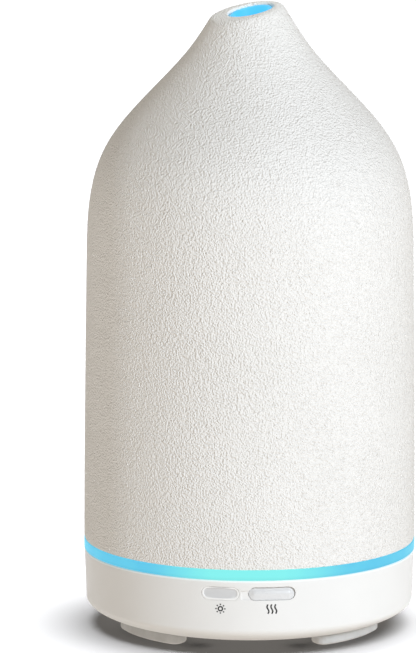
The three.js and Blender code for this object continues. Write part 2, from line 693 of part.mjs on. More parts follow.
add('piezo_lead', RED_LEAD(), lead([
  [0, 1.5, 23.4],
  [0, 1.8, 20],
  [-1.5, 4, 17],
  [-5, 7.5, 16.4],
  [...PIEZO_AT, 15],
  [...PIEZO_AT, plugTop],
]));
add('fan_lead', BLACK_LEAD(), lead([
  [FAN.x + 5, FAN.y + FAN.half + GAP, 8.2],
  [5, 0, 8.8],
  [4.5, 3.8, 12.5],
  [4.2, 7, 14.6],
  [...FAN_AT, plugTop],
]));
add('led_lead', BLACK_LEAD(), lead([
  [22.3, 0, LED_BOARD.z0 - 0.4],
  [22.3, 0.4, 19],
  [21.5, 6, 16.5],
  [19.5, 10, 15.5],
  [...LED_AT, plugTop],
]));
add('switch_lead', BLACK_LEAD(), lead([
  [-19, SWITCH_BOARD.back + GAP, 19],
  [-20.5, -32, 18],
  [-22, -22, 13],
  [-22, -8, 13],
  [-20, 3, 16.5],
  [...SWITCH_AT, 16.4],
  [...SWITCH_AT, plugTop],
]));

export default diffuser;
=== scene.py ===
import json
import math
import random

import bpy
import numpy as np
from mathutils import Matrix, Vector, noise

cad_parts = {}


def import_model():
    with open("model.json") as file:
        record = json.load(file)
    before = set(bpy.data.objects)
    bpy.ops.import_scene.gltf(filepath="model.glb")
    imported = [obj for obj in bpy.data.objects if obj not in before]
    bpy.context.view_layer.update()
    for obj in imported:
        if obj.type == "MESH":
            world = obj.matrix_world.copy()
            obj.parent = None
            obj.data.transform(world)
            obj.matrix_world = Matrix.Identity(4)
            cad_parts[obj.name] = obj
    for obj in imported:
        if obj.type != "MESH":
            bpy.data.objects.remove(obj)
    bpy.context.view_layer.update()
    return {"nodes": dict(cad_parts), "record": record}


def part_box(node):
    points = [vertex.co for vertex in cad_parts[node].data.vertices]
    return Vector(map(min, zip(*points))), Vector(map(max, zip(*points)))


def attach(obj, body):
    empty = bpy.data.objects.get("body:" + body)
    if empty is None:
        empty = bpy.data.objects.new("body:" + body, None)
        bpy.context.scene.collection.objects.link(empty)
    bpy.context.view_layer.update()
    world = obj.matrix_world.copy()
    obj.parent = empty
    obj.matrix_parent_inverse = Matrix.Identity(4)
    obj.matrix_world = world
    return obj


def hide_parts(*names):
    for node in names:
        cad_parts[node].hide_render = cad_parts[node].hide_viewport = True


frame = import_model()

# Ultrasonic essential oil diffuser: a pebbled stone-look cover over a lit plastic base.
# Lengths are millimetres until a mesh is made. +Z is up, and the keys face -Y.

MM = 0.001
DEG = math.pi / 180
FULL = 2 * math.pi


def node_box(name):
    """A CAD node's lowest and highest corners, in millimetres."""
    low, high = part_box(name)
    return [c / MM for c in low], [c / MM for c in high]


# ------------------------------------------------------------------ driving dimensions

RING_LOW, RING_HIGH = node_box("light_ring")
BODY_R = RING_HIGH[0]
RING_TOP = RING_HIGH[2]
RING_BAND = 2.74
RING_BOTTOM = RING_TOP - RING_BAND
UNDERSIDE = node_box("base_housing")[0][2]
COVER_FOOT = node_box("outer_cover")[0][2]
TANK_RIM = node_box("water_tank")[1][2]

# The cover's outside is three cubic curves of (radius, height), one after another.
COVER_CURVES = [
    [(BODY_R, COVER_FOOT), (BODY_R, 53.3), (47.06, 81.7), (46.72, 110)],
    [(46.72, 110), (46.42, 135), (41.07, 141.16), (27.63, 155.26)],
    [(27.63, 155.26), (18.1, 165.26), (16.74, 166.8), (10.08, 177.9)],
]
COVER_INSIDE = [
    [(44.5, COVER_FOOT), (44.5, 53.3), (44.1, 81.7), (43.72, 110)],
    [(43.72, 110), (43.4, 133), (38.6, 139.4), (25.46, 153.2)],
    [(25.46, 153.2), (17.8, 161.2), (6.5, 163.5), (6.5, 171)],
]
MOUTH_Z = 177.9
MOUTH_IN_R = 6.5
MOUTH_TILT = 12.8 * DEG
MOUTH_FACES = 207 * DEG

CHIMNEY_R = 5.95
CHIMNEY_IN_R = 4.8
CHIMNEY_DROP = 0.5

BUTTON_Z = 18.3
BUTTON_H = 3.8
# name: (x of its middle, width)
BUTTONS = {"light": (-8.1, 10.6), "mist": (6.4, 13.2)}
KEY_GAP = 0.05
POCKET_GAP = 0.3

FOOT_IN_R, FOOT_OUT_R = 31.9, 38.6
FOOT_HALF = 22 * DEG
FOOT_CORNER = 2.5
FOOT_TOP = 3.3
FOOT_FROM_FRONT = 54 * DEG
FEET = {
    "foot_front_left": -90 * DEG - FOOT_FROM_FRONT,
    "foot_front_right": -90 * DEG + FOOT_FROM_FRONT,
    "foot_rear_right": 90 * DEG - FOOT_FROM_FRONT,
    "foot_rear_left": 90 * DEG + FOOT_FROM_FRONT,
}
HOUSING_SCREWS = [(-14.5, -32.2), (14.5, -32.2), (14.5, 32.2), (-14.5, 32.2)]
JACK_Z = 14.6
FAN_X, FAN_Y = 0, -15

SMOOTH_ANGLE = 35 * DEG


def mouth_plane(x, y, drop=0.0):
    """The slanted mouth's height above the table at (x, y)."""
    slope = math.tan(MOUTH_TILT)
    return MOUTH_Z - drop - slope * (math.cos(MOUTH_FACES) * x + math.sin(MOUTH_FACES) * y)


# ------------------------------------------------------------------ outlines

def cubic(points, steps):
    """Points along a cubic curve, without its last one."""
    a, b, c, d = (np.array(p, float) for p in points)
    found = []
    for i in range(steps):
        t = i / steps
        s = 1 - t
        found.append(tuple(s**3 * a + 3 * s * s * t * b + 3 * s * t * t * c + t**3 * d))
    return found


def arc(centre, across, up, start, end, steps):
    """Points on an ellipse from one angle to another, both included."""
    angles = [start + (end - start) * i / steps for i in range(steps + 1)]
    return [(centre[0] + across * math.cos(a), centre[1] + up * math.sin(a)) for a in angles]


def evenly(points, step):
    """The same line with its points about step apart."""
    line = np.array(points, float)
    run = np.concatenate([[0], np.cumsum(np.linalg.norm(np.diff(line, axis=0), axis=1))])
    count = max(2, round(run[-1] / step) + 1)
    at = np.linspace(0, run[-1], count)
    return np.stack([np.interp(at, run, line[:, 0]), np.interp(at, run, line[:, 1])], 1)


def pill(width, height, steps=12):
    """A stadium outline, counter-clockwise."""
    r = height / 2
    reach = width / 2 - r
    right = arc((reach, 0), r, r, -90 * DEG, 90 * DEG, steps)
    left = arc((-reach, 0), r, r, 90 * DEG, 270 * DEG, steps)
    return right + left


def arc_block(grow=0.0):
    """The outline of a foot, an arc with rounded corners, centred on +X."""
    corner_steps, long_steps = 6, 24
    inner, outer, corner = FOOT_IN_R - grow, FOOT_OUT_R + grow, FOOT_CORNER + grow
    side = FOOT_HALF + grow / ((FOOT_IN_R + FOOT_OUT_R) / 2)
    turn_out = side - math.asin(corner / (outer - corner))
    turn_in = side - math.asin(corner / (inner + corner))
    quarter = 90 * DEG

    def corner_arc(radius, turn, start, end):
        centre = (radius * math.cos(turn), radius * math.sin(turn))
        return arc(centre, corner, corner, start, end, corner_steps)

    points = arc((0, 0), outer, outer, -turn_out, turn_out, long_steps)
    points += corner_arc(outer - corner, turn_out, turn_out, side + quarter)[1:]
    points += corner_arc(inner + corner, turn_in, side + quarter, turn_in + 2 * quarter)
    points += arc((0, 0), inner, inner, turn_in, -turn_in, long_steps)[1:]
    points += corner_arc(inner + corner, -turn_in, 2 * quarter - turn_in, 3 * quarter - side)[1:]
    points += corner_arc(outer - corner, -turn_out, -side - quarter, -turn_out)[:-1]
    return points


def rounded_box(half_x, half_y, corner, steps=6):
    """A rectangle's outline with round corners, counter-clockwise."""
    points = []
    for sx, sy, start in ((1, -1, -90), (1, 1, 0), (-1, 1, 90), (-1, -1, 180)):
        centre = (sx * (half_x - corner), sy * (half_y - corner))
        points += arc(centre, corner, corner, start * DEG, (start + 90) * DEG, steps)
    return points


# ------------------------------------------------------------------ meshes

def new_object(name, verts, faces, smooth_angle=None):
    """An object in metres from vertices in millimetres, smooth up to an angle between faces."""
    mesh = bpy.data.meshes.new(name)
    mesh.from_pydata([tuple(c * MM for c in v) for v in verts], [], faces)
    mesh.update()
    obj = bpy.data.objects.new(name, mesh)
    bpy.context.scene.collection.objects.link(obj)
    if smooth_angle is not None:
        smooth(obj, smooth_angle)
    return obj


def smooth(obj, angle=SMOOTH_ANGLE):
    """Shades an object smooth, with sharp edges where faces meet at more than an angle."""
    mesh = obj.data
    mesh.shade_smooth()
    mesh.set_sharp_from_angle(angle=angle)


def revolve(name, section, sides):
    """A body of revolution from a closed (radius, height) section, counter-clockwise.
    A section that starts and ends on the axis closes there."""
    on_axis = abs(section[0][0]) < 1e-9
    rings = [p for p in section if p[0] > 1e-9]
    turns = [FULL * i / sides for i in range(sides)]
    cos_sin = [(math.cos(t), math.sin(t)) for t in turns]
    verts = [(r * c, r * s, z) for r, z in rings for c, s in cos_sin]
    faces = []
    pairs = len(rings) - 1 if on_axis else len(rings)
    for j in range(pairs):
        k = (j + 1) % len(rings)
        for i in range(sides):
            n = (i + 1) % sides
            faces.append((j * sides + i, j * sides + n, k * sides + n, k * sides + i))
    if on_axis:
        faces.append(tuple(range(sides - 1, -1, -1)))
        top = (len(rings) - 1) * sides
        faces.append(tuple(range(top, top + sides)))
    return new_object(name, verts, faces, SMOOTH_ANGLE)


def prism(name, outline, low, high):
    """A straight prism along Z on a counter-clockwise outline."""
    count = len(outline)
    verts = [(x, y, z) for z in (low, high) for x, y in outline]
    sides = [(i, (i + 1) % count, (i + 1) % count + count, i + count) for i in range(count)]
    caps = [tuple(range(count - 1, -1, -1)), tuple(range(count, 2 * count))]
    return new_object(name, verts, sides + caps)


def facing_front(obj, x, z, y0):
    """Lays a prism made along Z so that it runs along +Y from y0, centred on (x, z)."""
    turn = Matrix(((1, 0, 0), (0, 0, 1), (0, 1, 0))).to_4x4()
    obj.data.transform(turn)
    obj.data.flip_normals()
    obj.data.transform(Matrix.Translation(Vector((x, y0, z)) * MM))
    return obj


def loft(name, loops, angle):
    """Skins loops of points that all have the same number of points, and closes both ends."""
    count = len(loops[0])
    verts = [p for loop in loops for p in loop]
    faces = []
    for j in range(len(loops) - 1):
        for i in range(count):
            n = (i + 1) % count
            faces.append((j * count + i, j * count + n, (j + 1) * count + n, (j + 1) * count + i))
    faces.append(tuple(range(count - 1, -1, -1)))
    last = (len(loops) - 1) * count
    faces.append(tuple(range(last, last + count)))
    return new_object(name, verts, faces, angle)


def joined(name, parts):
    """Several objects as one."""
    with bpy.context.temp_override(active_object=parts[0], selected_editable_objects=parts):
        bpy.ops.object.join()
    parts[0].name = name
    parts[0].data.name = name
    return parts[0]


def apply_modifiers(obj):
    graph = bpy.context.evaluated_depsgraph_get()
    mesh = bpy.data.meshes.new_from_object(obj.evaluated_get(graph))
    obj.modifiers.clear()
    obj.data = mesh


def boolean(obj, operation, tools):
    """Cuts tools from obj, or joins them to it, and removes them."""
    for tool in tools:
        step = obj.modifiers.new("boolean", "BOOLEAN")
        step.operation = operation
        step.solver = "EXACT"
        step.object = tool
    apply_modifiers(obj)
    for tool in tools:
        bpy.data.objects.remove(tool)


def bevel(obj, width):
    """Rounds the edges where faces meet at more than 40 degrees."""
    step = obj.modifiers.new("bevel", "BEVEL")
    step.width = width * MM
    step.segments = 2
    step.limit_method = "ANGLE"
    step.angle_limit = 40 * DEG
    apply_modifiers(obj)


def block(name, x, y, z):
    """A box from its three ranges."""
    outline = [(x[0], y[0]), (x[1], y[0]), (x[1], y[1]), (x[0], y[1])]
    return prism(name, outline, *z)


def rod(name, radius, low, high, at=(0, 0), sides=48):
    """An upright cylinder."""
    turns = [FULL * i / sides for i in range(sides)]
    circle = [(at[0] + radius * math.cos(a), at[1] + radius * math.sin(a)) for a in turns]
    return prism(name, circle, low, high)


# ------------------------------------------------------------------ materials

# Sizes of patterns and depths of relief, in millimetres.
PEBBLE = 0.85
PEBBLE_BUMP = 0.32
GRIT = PEBBLE * 0.58
PEBBLE_BEND = 0.9
PEBBLE_BEND_SIZE = 1.9

MOTTLE = 14

FROSTED_CLARITY = 0.35
# Heights over which the lid's chimney takes on its painted glow.
LID_PAINTED_GLOW = (100, 150)
FROSTED_PALE = ((0.80, 0.86, 0.88), (0.88, 0.92, 0.93))

# The light key's face is sunk, so what stands further from the axis than this is its rim.
KEY_RIM_R = (47.0, 47.16)
SILVERED_R = (7.8, 8.2)
COIL_PITCH = 0.45
BLACK = (0.0, 0.0, 0.0)


class Surface:
    """A Principled material, with short ways to drive its sockets from nodes."""

    def __init__(self, name, **constants):
        self.material = bpy.data.materials.new(name)
        self.material.use_nodes = True
        self.tree = self.material.node_tree
        self.shader = self.tree.nodes["Principled BSDF"]
        for socket, value in constants.items():
            self.shader.inputs[socket.replace("_", " ")].default_value = value
        self.place = self.node("ShaderNodeTexCoord").outputs["Object"]

    def node(self, kind, inputs=None, **settings):
        node = self.tree.nodes.new(kind)
        for name, value in settings.items():
            setattr(node, name, value)
        for name, value in (inputs or {}).items():
            if isinstance(value, bpy.types.NodeSocket):
                self.tree.links.new(value, node.inputs[name])
            else:
                node.inputs[name].default_value = value
        return node

    def drive(self, socket, output):
        self.tree.links.new(output, self.shader.inputs[socket])

    def noise(self, size, detail=3.0, place=None, output="Fac"):
        """Soft noise with features about size millimetres wide, from 0 to 1."""
        return self.node("ShaderNodeTexNoise", {
            "Vector": place or self.place, "Scale": 1 / (size * MM), "Detail": detail,
        }).outputs[output]

    def cells(self, size, place=None, feature="SMOOTH_F1", soft=0.5):
        """Distance from the centres of cells about size millimetres wide."""
        node = self.node("ShaderNodeTexVoronoi", feature=feature)
        self.tree.links.new(place or self.place, node.inputs["Vector"])
        node.inputs["Scale"].default_value = 1 / (size * MM)
        if feature == "SMOOTH_F1":
            node.inputs["Smoothness"].default_value = soft
        return node.outputs["Distance"]

    def math(self, operation, a, b=0.0, clamp=False):
        node = self.node("ShaderNodeMath", {0: a, 1: b}, operation=operation, use_clamp=clamp)
        return node.outputs[0]

    def vector(self, operation, a, inputs=None):
        return self.node("ShaderNodeVectorMath", {0: a, **(inputs or {})}, operation=operation)

    def band(self, value, low, high, out_low=0.0, out_high=1.0):
        """value's run from low to high, as a smooth run from out_low to out_high."""
        return self.node("ShaderNodeMapRange", {
            "Value": value, "From Min": low, "From Max": high,
            "To Min": out_low, "To Max": out_high,
        }, interpolation_type="SMOOTHSTEP").outputs["Result"]

    def mix(self, factor, a, b):
        """Colour a where factor is 0, and b where it is 1."""
        node = self.node("ShaderNodeMix", data_type="RGBA")
        for socket, value in ((0, factor), (6, a), (7, b)):
            if isinstance(value, bpy.types.NodeSocket):
                self.tree.links.new(value, node.inputs[socket])
            else:
                node.inputs[socket].default_value = value if socket == 0 else (*value, 1)
        return node.outputs[2]

    def bump(self, height, distance):
        """The normal of a relief that is distance millimetres deep."""
        inputs = {"Height": height, "Distance": distance * MM, "Strength": 1.0}
        return self.node("ShaderNodeBump", inputs).outputs["Normal"]

    def axis(self, which):
        split = self.node("ShaderNodeSeparateXYZ", {"Vector": self.place})
        return split.outputs["XYZ".index(which)]

    def across(self):
        """Distance from the vertical axis, in metres."""
        flat = self.vector("MULTIPLY", self.place, {1: (1, 1, 0)})
        return self.vector("LENGTH", flat.outputs[0]).outputs["Value"]

    def between(self, value, a, b):
        """Colour a to colour b, over the middle of a value from 0 to 1."""
        return self.mix(self.band(value, 0.3, 0.7), a, b)

    def finish(self, low, high, size=3.5, detail=4):
        """Roughness that changes from low to high over the surface, as handling leaves it."""
        self.drive("Roughness", self.band(self.noise(size, detail), 0.2, 0.8, low, high))


def shade(colour, factor):
    return tuple(c * factor for c in colour)


def moulded(name, colour, roughness=0.42, tone=0.05, grain=0.35, relief=0.012, **constants):
    """Plain moulded plastic, rubber or metal: faint mottling, handling wear and a fine grain."""
    s = Surface(name, **constants)
    s.drive("Base Color", s.between(s.noise(MOTTLE, detail=2), shade(colour, 1 - tone), colour))
    s.finish(roughness - 0.06, roughness + 0.08)
    s.drive("Normal", s.bump(s.noise(grain, detail=2), relief))
    return s.material


def stone_cover():
    """Warm off-white stone-look coat: bent pebbles with finer grit on them, and painted shade that
    darkens the hollows.
    Without the bump correction the grain keeps its contrast where the light grazes it."""
    s = Surface("pebbled_stone", IOR=1.45)
    s.material.cycles.use_bump_map_correction = False
    s.shader.inputs["Specular IOR Level"].default_value = 0.2
    bend = s.noise(PEBBLE_BEND_SIZE, detail=2, output="Color")
    shift = s.vector("SUBTRACT", bend, {1: (0.5, 0.5, 0.5)})
    moved = s.vector("SCALE", shift.outputs[0], {"Scale": PEBBLE_BEND * MM})
    place = s.vector("ADD", s.place, {1: moved.outputs[0]}).outputs[0]
    pebbles = s.cells(PEBBLE, place, soft=0.3)
    grit = s.noise(GRIT, detail=0)
    height = s.math("SUBTRACT", s.math("MULTIPLY", grit, 1.6), s.math("MULTIPLY", pebbles, 0.5))
    pale = s.between(s.noise(30, detail=3), (0.755, 0.737, 0.706), (0.775, 0.757, 0.727))
    # Painted shade: the colour darkens towards a brown grey where the relief is low, as if shade
    # lay in the hollows.
    low = s.band(height, -0.1, 0.45, 1.0, 0.0)
    s.drive("Base Color", s.mix(s.math("MULTIPLY", low, 0.3), pale, (0.64, 0.60, 0.55)))
    s.drive("Roughness", s.band(grit, 0.2, 0.8, 0.75, 0.95))
    s.drive("Normal", s.bump(height, PEBBLE_BUMP))
    return s.material


def lit_ring():
    """Diffusing plastic lit from inside: sky blue all round, greener by the lamp at the front."""
    s = Surface("lit_ring_plastic", Roughness=0.5, Emission_Strength=1.0)
    s.shader.inputs["Specular IOR Level"].default_value = 0.1
    front = s.band(s.axis("Y"), -0.036, -0.043)
    middle = s.band(s.math("ABSOLUTE", s.axis("X")), 0.034, 0.006)
    near = s.math("MULTIPLY", middle, front)
    wave = s.band(s.noise(7, detail=1), 0.35, 0.65, 0.0, 0.1)
    greener = s.math("ADD", near, wave, clamp=True)
    s.drive("Emission Color", s.mix(greener, (0.115, 0.56, 0.80), (0.225, 0.84, 0.82)))
    dim_edge = RING_BOTTOM * MM, (RING_BOTTOM + 1.2) * MM
    s.drive("Emission Strength", s.band(s.axis("Z"), *dim_edge, 0.93, 1.0))
    s.drive("Base Color", s.mix(near, (0.01, 0.04, 0.05), (0.015, 0.05, 0.05)))
    return s.material


def frosted(name, glow=None):
    """Translucent frosted polypropylene. glow is the heights between which it turns from plain
    to a painted blue glow, which stands in for the lamps' light carried up through the lid."""
    s = Surface(name, IOR=1.49, Transmission_Weight=FROSTED_CLARITY)
    colour = s.between(s.noise(18, detail=2), *FROSTED_PALE)
    s.finish(0.42, 0.55, size=2.5, detail=3)
    s.drive("Normal", s.bump(s.noise(0.4, detail=2), 0.01))
    if glow:
        # Painted glow: the lid is no lamp. This emission stands in for the lamps' light carried up
        # through it to the mouth.
        lit = s.band(s.axis("Z"), *(z * MM for z in glow))
        s.shader.inputs["Emission Strength"].default_value = 1.0
        s.drive("Emission Color", s.mix(lit, BLACK, (0.075, 0.56, 0.97)))
        clear = s.math("MULTIPLY", s.math("SUBTRACT", 1.0, lit), FROSTED_CLARITY)
        s.drive("Transmission Weight", clear)
        colour = s.mix(lit, colour, (0.01, 0.05, 0.07))
    s.drive("Base Color", colour)
    return s.material


def base_plastic():
    """Satin off-white moulding with a painted glow along its upper edge, standing in for the ring's
    light showing through it.
    """
    colour = (0.755, 0.744, 0.722)
    s = Surface("base_plastic", Emission_Strength=1.0)
    s.shader.inputs["Specular IOR Level"].default_value = 0.3
    s.drive("Base Color", s.between(s.noise(MOTTLE, detail=2), shade(colour, 0.98), colour))
    s.finish(0.40, 0.52)
    s.drive("Normal", s.bump(s.noise(0.35, detail=2), 0.01))
    # Painted glow: emission just under the ring stands in for the ring's light showing through the
    # base's upper edge.
    rim = s.band(s.axis("Z"), (RING_BOTTOM - 0.95) * MM, (RING_BOTTOM - 0.35) * MM)
    s.drive("Emission Color", s.mix(rim, BLACK, (0.13, 0.16, 0.165)))
    return s.material


def two_tone_key():
    """Satin plastic, pale on the rim and light grey on the sunk face."""
    s = Surface("light_key_plastic")
    rim = s.band(s.across(), *(r * MM for r in KEY_RIM_R))
    face = s.between(s.noise(MOTTLE, detail=2), (0.575, 0.572, 0.57), (0.60, 0.597, 0.595))
    s.drive("Base Color", s.mix(rim, face, (0.82, 0.81, 0.79)))
    s.finish(0.36, 0.48)
    s.drive("Normal", s.bump(s.noise(0.35, detail=2), 0.012))
    return s.material


def silicone():
    """Soft milky silicone that lets a little light in."""
    s = Surface("foot_silicone", Subsurface_Weight=0.35, Subsurface_Scale=0.002, IOR=1.41)
    s.shader.inputs["Subsurface Radius"].default_value = (1.0, 0.95, 0.85)
    s.drive("Base Color", s.between(s.noise(5), (0.48, 0.475, 0.46), (0.56, 0.553, 0.54)))
    s.finish(0.40, 0.58, size=1.2)
    s.drive("Normal", s.bump(s.noise(0.5, detail=3), 0.02))
    return s.material


def circuit_board():
    """Green solder mask over a net of copper tracks."""
    s = Surface("solder_mask", Roughness=0.35)
    tracks = s.cells(2.2, feature="DISTANCE_TO_EDGE")
    line = s.band(tracks, 0.06, 0.10, 1.0, 0.0)
    s.drive("Base Color", s.mix(line, (0.012, 0.13, 0.05), (0.03, 0.24, 0.09)))
    s.drive("Normal", s.bump(line, 0.03))
    return s.material


def disc_ceramic():
    """A fired ceramic disc whose middle is silvered."""
    s = Surface("disc_ceramic", Roughness=0.35)
    rim = s.band(s.across(), *(r * MM for r in SILVERED_R))
    s.drive("Base Color", s.mix(rim, (0.62, 0.62, 0.60), (0.68, 0.52, 0.28)))
    s.drive("Metallic", s.math("SUBTRACT", 1.0, rim))
    s.drive("Normal", s.bump(s.noise(0.3), 0.008))
    return s.material


def wound_copper():
    """Enamelled wire in level turns round a standing coil, its colour painted darker in the grooves
    between the turns as shade.
    """
    s = Surface("wound_copper", Metallic=0.85, Roughness=0.35)
    turns = s.math("SINE", s.math("MULTIPLY", s.axis("Z"), FULL / (COIL_PITCH * MM)))
    # Painted shade: the colour follows the turns' relief and is darker in the grooves between them.
    s.drive("Base Color", s.mix(s.band(turns, -1, 1), (0.28, 0.09, 0.035), (0.62, 0.27, 0.11)))
    s.drive("Normal", s.bump(turns, 0.08))
    return s.material


def brushed(name, colour, roughness=0.3):
    """Metal with fine drawn lines."""
    s = Surface(name, Metallic=1.0)
    stretched = s.vector("MULTIPLY", s.place, {1: (1.0, 1.0, 9.0)})
    lines = s.noise(0.9, detail=4, place=stretched.outputs[0])
    s.drive("Base Color", s.between(lines, shade(colour, 0.85), colour))
    s.drive("Roughness", s.band(lines, 0.3, 0.7, roughness - 0.05, roughness + 0.12))
    s.drive("Normal", s.bump(lines, 0.01))
    return s.material


MATERIALS = {
    "stone": stone_cover(),
    "light_ring": lit_ring(),
    "base_plastic": base_plastic(),
    "white_plastic": moulded("white_plastic", (0.85, 0.83, 0.80), 0.42, tone=0.03),
    "light_key": two_tone_key(),
    "mist_key": moulded("mist_key_plastic", (0.66, 0.657, 0.652), 0.28, tone=0.03),
    "silicone": silicone(),
    "lid_plastic": frosted("lid_plastic", LID_PAINTED_GLOW),
    "tank_plastic": frosted("tank_plastic"),
    "ink": moulded("printed_ink", (0.022, 0.021, 0.02), 0.5, tone=0.2),
    "grey_rubber": moulded("grey_rubber", (0.35, 0.37, 0.38), 0.6, grain=0.6, relief=0.03),
    "steel": brushed("plated_steel", (0.62, 0.63, 0.65)),
    "black_plastic": moulded("black_plastic", (0.028, 0.028, 0.03), 0.4, tone=0.25),
    "circuit_board": circuit_board(),
    "piezo_ceramic": disc_ceramic(),
    "led_lens": moulded("lamp_resin", (0.90, 0.86, 0.62), 0.25, Emission_Strength=0.6,
                        Emission_Color=(0.3, 0.9, 1.0, 1)),
    "copper": wound_copper(),
    "aluminium": brushed("drawn_can", (0.72, 0.73, 0.74), 0.35),
    "connector_plastic": moulded("natural_nylon", (0.84, 0.80, 0.70), 0.45),
    "red_lead": moulded("red_insulation", (0.50, 0.025, 0.02), 0.4),
    "black_lead": moulded("black_insulation", (0.02, 0.02, 0.02), 0.4),
}


def finish_piece(obj, body, material, slot, *nodes):
    """Gives a new piece its material and its body, and hides the CAD nodes that it stands for. slot
    is not used.
    """
    obj.data.materials.clear()
    obj.data.materials.append(MATERIALS[material])
    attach(obj, body)
    if nodes:
        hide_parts(*nodes)


# ------------------------------------------------------------------ cover

COVER_STEP = 0.78
COVER_SIDES = 396
CURVE_STEPS = 40
INSIDE_STEPS = 8
FOOT_TRIM = 0.2
LIP_STEPS = 8
LIP_INNER_EDGE = 0.7
# The outside's rows above this height are squeezed, so that the last ends at the slanted lip.
SQUEEZE_FROM = 140
PEBBLE_RELIEF = 0.035
RELIEF_SIZES = (1.3, 5.0)
RELIEF_LEVEL = 0.6


def line_radius(curve, z):
    """The radius of a rising (radius, height) line at a height, going on straight past its end."""
    heights, radii = curve[:, 1], curve[:, 0]
    slope = (radii[-1] - radii[-2]) / (heights[-1] - heights[-2])
    beyond = radii[-1] + slope * (z - heights[-1])
    return np.where(z > heights[-1], beyond, np.interp(z, heights, radii))


def rounded(start, corner, end, steps):
    """A parabola that rounds a corner, from start to end."""
    found = []
    for i in range(steps + 1):
        t = i / steps
        found.append(tuple((1 - t) ** 2 * s + 2 * t * (1 - t) * c + t * t * e
                           for s, c, e in zip(start, corner, end)))
    return found


def cover_section(turn, outside, inside):
    """The cover's closed section at one angle: foot, outside, rounded lip, bore, inside."""
    lean = math.tan(MOUTH_TILT) * -math.cos(turn - MOUTH_FACES)

    def on_mouth(radius):
        return radius, MOUTH_Z + lean * radius

    corner_z = MOUTH_Z
    for _ in range(12):
        corner_r = float(line_radius(outside, corner_z))
        corner_z = MOUTH_Z + lean * corner_r
    rounding = 1.25 + 0.6 * math.cos(turn)
    shoulder_z = corner_z - rounding
    shoulder = (float(line_radius(outside, shoulder_z)), shoulder_z)
    rows, top = outside[:, 1], outside[-1, 1]
    squeeze = np.clip((rows - SQUEEZE_FROM) / (top - SQUEEZE_FROM), 0, 1)
    heights = rows + squeeze * (shoulder_z - top)
    side = list(zip(line_radius(outside, heights), heights))
    lip = rounded(shoulder, (corner_r, corner_z), on_mouth(corner_r - rounding), LIP_STEPS)
    bore_edge = on_mouth(MOUTH_IN_R)
    bore = (MOUTH_IN_R, bore_edge[1] - LIP_INNER_EDGE)
    inner_lip = rounded(on_mouth(MOUTH_IN_R + LIP_INNER_EDGE), bore_edge, bore, 4)
    return side[:-1] + lip + inner_lip + [tuple(p) for p in inside]


def pebble_depth(x, y, z):
    """The outside's small real relief at a point, mostly inwards."""
    place = Vector((x, y, z))
    fine, broad = (noise.noise(place / size) - RELIEF_LEVEL for size in RELIEF_SIZES)
    return PEBBLE_RELIEF * fine + PEBBLE_RELIEF * 0.3 * broad


def cover_shell():
    outside = sum((cubic(c, CURVE_STEPS) for c in COVER_CURVES), []) + [COVER_CURVES[-1][-1]]
    outside = evenly(outside, COVER_STEP)
    outside[0] = (BODY_R - FOOT_TRIM, COVER_FOOT)
    inside = sum((cubic(c, INSIDE_STEPS) for c in COVER_INSIDE), []) + [COVER_INSIDE[-1][-1]]
    inside = np.array(inside)[::-1]
    last_pebbled = len(outside) - 1 + LIP_STEPS
    verts, faces = [], []
    for i in range(COVER_SIDES):
        turn = FULL * i / COVER_SIDES
        section = cover_section(turn, outside, inside)
        for j, (r, z) in enumerate(section):
            x, y = r * math.cos(turn), r * math.sin(turn)
            depth = pebble_depth(x, y, z) if 0 < j < last_pebbled else 0.0
            reach = math.hypot(x, y)
            verts.append((x + depth * x / reach, y + depth * y / reach, z))
    rows = len(section)
    for i in range(COVER_SIDES):
        n = (i + 1) % COVER_SIDES
        for j in range(rows):
            k = (j + 1) % rows
            faces.append((i * rows + j, n * rows + j, n * rows + k, i * rows + k))
    return new_object("cover_shell", verts, faces, 50 * DEG)


finish_piece(cover_shell(), "cover", "stone", "stone", "outer_cover")

# ------------------------------------------------------------------ lid and tank


def lid_dome():
    """A dome with a locating skirt, a flange, and a chimney that ends on the mouth's slant."""
    skirt_in, skirt_out, flange = 34.6, 36.1, 40.2
    side, wall = 38.6, 1.5
    seat = TANK_RIM + 0.3
    top, slanted_from = 170, 160
    section = [
        (skirt_in, 57.7), (34.8, 57.5), (35.9, 57.5), (skirt_out, 57.7),
        (skirt_out, seat), (40.0, seat), (flange, seat + 0.3), (flange, seat + 1.5),
        (39.9, seat + 1.8), (side + 0.4, seat + 1.9), (side, seat + 2.4),
    ]
    section += cubic([(side, 84), (side, 104), (27, 114.5), (17, 118.5)], 18)
    section += cubic([(17, 118.5), (10.5, 121), (CHIMNEY_R, 124), (CHIMNEY_R, 132)], 12)
    section += [(CHIMNEY_R, 132), (CHIMNEY_R, top - 0.35), (CHIMNEY_R - 0.35, top)]
    section += [(CHIMNEY_IN_R + 0.3, top), (CHIMNEY_IN_R, top - 0.3)]
    section += cubic([(CHIMNEY_IN_R, 131), (CHIMNEY_IN_R, 123), (9.5, 119.6), (16.4, 117)], 12)
    section += cubic([(16.4, 117), (26, 113), (side - wall, 103), (side - wall, 84)], 16)
    section += [(side - wall, 84), (side - wall, seat + 1.8), (skirt_in, seat - 1)]
    lid = revolve("lid_dome", section, 128)
    for v in lid.data.vertices:
        x, y, z = (c / MM for c in v.co)
        if z > slanted_from:
            v.co.z = (mouth_plane(x, y, CHIMNEY_DROP) + z - top) * MM
    return lid


finish_piece(lid_dome(), "lid", "lid_plastic", "frosted_plastic", "inner_lid")


